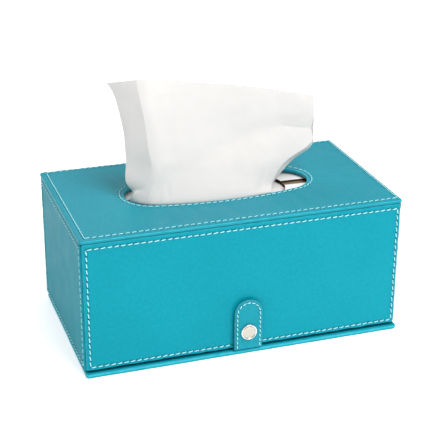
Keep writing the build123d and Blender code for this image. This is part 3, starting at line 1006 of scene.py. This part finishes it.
def through(points, count, split=None):
    """Points on a smooth curve through the given ones. With a split, counts before and after that point."""
    points = np.array(points, float)
    gaps = np.sqrt(np.linalg.norm(np.diff(points, axis=0), axis=1))
    knots = np.concatenate([[0], np.cumsum(gaps)])
    slopes = np.diff(points, axis=0) / gaps[:, None]
    size = len(points)
    system = np.zeros((size, size))
    right = np.zeros((size, 3))
    system[0, 0] = system[-1, -1] = 1.0
    for k in range(1, size - 1):
        system[k, k - 1 : k + 2] = gaps[k - 1], 2 * (gaps[k - 1] + gaps[k]), gaps[k]
        right[k] = 6 * (slopes[k] - slopes[k - 1])
    bends = np.linalg.solve(system, right)
    if split is None:
        stations = np.linspace(0, knots[-1], count + 1)
    else:
        before = np.linspace(0, knots[split], count[0] + 1)
        after = np.linspace(0, 1, count[1] + 1)[1:]
        total = np.linspace(knots[split], knots[-1], 400)
        places = np.array([np.interp(total, knots, points[:, axis]) for axis in range(3)]).T
        run = np.concatenate([[0], np.cumsum(np.linalg.norm(np.diff(places, axis=0), axis=1))])
        stations = np.concatenate([before, np.interp(after * run[-1], run, total)])
    made = []
    for t in stations:
        k = min(int(np.searchsorted(knots, t, side="right")) - 1, size - 2)
        h, a, b = gaps[k], knots[k + 1] - t, t - knots[k]
        made.append(bends[k] * a**3 / (6 * h) + bends[k + 1] * b**3 / (6 * h)
                    + (points[k] / h - bends[k] * h / 6) * a + (points[k + 1] / h - bends[k + 1] * h / 6) * b)
    return np.array(made)


def drawn_tissue():
    foot_rows, rows, facet, columns = 16, 112, 24, 150
    lines = [through(line, (foot_rows, rows), split=3) for line in tissue_lines]
    grid = []
    for row in zip(*lines):
        left, turned = (through([a, (a + b) / 2, b], facet) for a, b in (row[:2], row[-2:]))
        grid.append(np.concatenate([left[:-1], through(row[1:-1], columns), turned[1:]]))
    grid = np.array(grid)
    height, width = grid.shape[:2]
    normal = np.cross(np.gradient(grid, axis=1), np.gradient(grid, axis=0))
    normal /= np.linalg.norm(normal, axis=2)[:, :, None]
    climb = (np.arange(height) - foot_rows) / rows
    x, z = grid[:, :, 0], grid[:, :, 2]
    spots = [Vector(spot) for spot in grid.reshape(-1, 3)]
    soft = [0.8 * noise.noise(p * 0.035) + 0.30 * noise.noise(p * 0.10 + Vector((9, 0, 4))) for p in spots]
    lift = np.reshape(soft, (height, width)) * np.clip(climb[:, None] * 4, 0, 1)
    crease_x, crease_z = zip(*reversed(crease))
    beside = z - np.interp(x, crease_x, crease_z)
    crisp = np.clip((x - 42) / 14, 0, 1)
    broad = np.clip((x + 30) / 40, 0, 1)
    lift -= crisp * 0.55 * np.exp(-np.abs(beside) / 1.6)
    lift -= broad * 1.1 * np.exp(-((beside / 8.0) ** 2))
    for foot_x, head_x, head, depth, breadth in small_folds:
        share = np.clip((z - fold_foot) / (head - fold_foot), 0, 1)
        line = foot_x + (head_x - foot_x) * share
        window = np.clip((z - 109.5) / 5, 0, 1) * np.clip((1 - share) * 2.2, 0, 1)
        lift += depth * window * np.exp(-((x - line) / breadth) ** 2)
    lift *= np.clip((z - 109.0) / 8, 0.15, 1)
    grid = grid + normal * lift[:, :, None]
    thin = 0.12
    points = np.concatenate([(grid + normal * thin).reshape(-1, 3), (grid - normal * thin).reshape(-1, 3)])
    total = height * width
    faces = []
    for a in (r * width + c for r in range(height - 1) for c in range(width - 1)):
        cell = (a, a + 1, a + width + 1, a + width)
        faces += [cell, tuple(total + cell[k] for k in (0, 3, 2, 1))]
    grid = np.arange(total).reshape(height, width)
    rim = np.concatenate([grid[0], grid[1:, -1], grid[-1, -2::-1], grid[-2:0:-1, 0]]).tolist()
    faces += band(rim, [total + k for k in rim])
    made = piece("drawn_tissue", points, faces, [tissue], sharp=80)
    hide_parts("tissue_sheet")
    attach(made, "cover")


drawn_tissue()


# Floor, light and camera
def stage_and_light():
    material, shader = new_material("studio_floor")
    shader.surface(shader.ramp(shader.noise(2.0, 2.0), 0.86, 0.88), 0.9, values={
        "Specular IOR Level": 0.1, "Emission Color": (1.0, 1.0, 1.0, 1.0), "Emission Strength": 0.55})
    size = 4000.0
    floor = piece("studio_floor", [(-size, -size, 0), (size, -size, 0), (size, size, 0), (-size, size, 0)],
                  [(0, 1, 2, 3)], [material])

    world = bpy.data.worlds.new("studio")
    bpy.context.scene.world = world
    world.use_nodes = True
    shader = Shader(world.node_tree, "Generated")
    height = shader.add("ShaderNodeSeparateXYZ", {"Vector": shader.place}).outputs["Z"]
    sky = shader.ramp(height, 0.62, 0.40, (0.35, 0.60))
    shader.feed(world.node_tree.nodes["Background"], {"Color": sky, "Strength": 1.0})

    for name, place, aim, power in (
        ("front_softbox", (0.24, -0.68, 1.02), (0, -0.02, 0.08), 12.0),
        ("back_softbox", (-0.12, 0.66, 0.92), (0, 0.04, 0.10), 2.8),
    ):
        lamp = bpy.data.lights.new(name, "AREA")
        lamp.size = 0.6
        lamp.energy = power
        made = bpy.data.objects.new(name, lamp)
        made.location = place
        made.rotation_euler = (Vector(aim) - Vector(place)).to_track_quat("-Z", "Y").to_euler()
        bpy.context.scene.collection.objects.link(made)


stage_and_light()

camera_turn = math.radians(-19.06)
camera_rise = math.radians(23.79)
camera_roll = math.radians(0.42)
# The camera's place from the origin, to its own right, upwards and backwards, in metres
camera_offset = (0.0057, 0.0711, 1.0166)
photo_width = 448
focal_length = 1255.4

lens = bpy.data.cameras.new("photo_camera")
lens.sensor_width = 36.0
lens.lens = focal_length / photo_width * lens.sensor_width
camera = bpy.data.objects.new("photo_camera", lens)
aim = Matrix.Rotation(camera_turn, 4, "Z") @ Matrix.Rotation(math.pi / 2 - camera_rise, 4, "X")
roll = Matrix.Rotation(camera_roll, 4, "Z")
camera.matrix_world = Matrix.Translation(aim @ Vector(camera_offset)) @ aim @ roll
bpy.context.scene.collection.objects.link(camera)
bpy.context.scene.camera = camera
bpy.context.scene.view_settings.view_transform = "Standard"
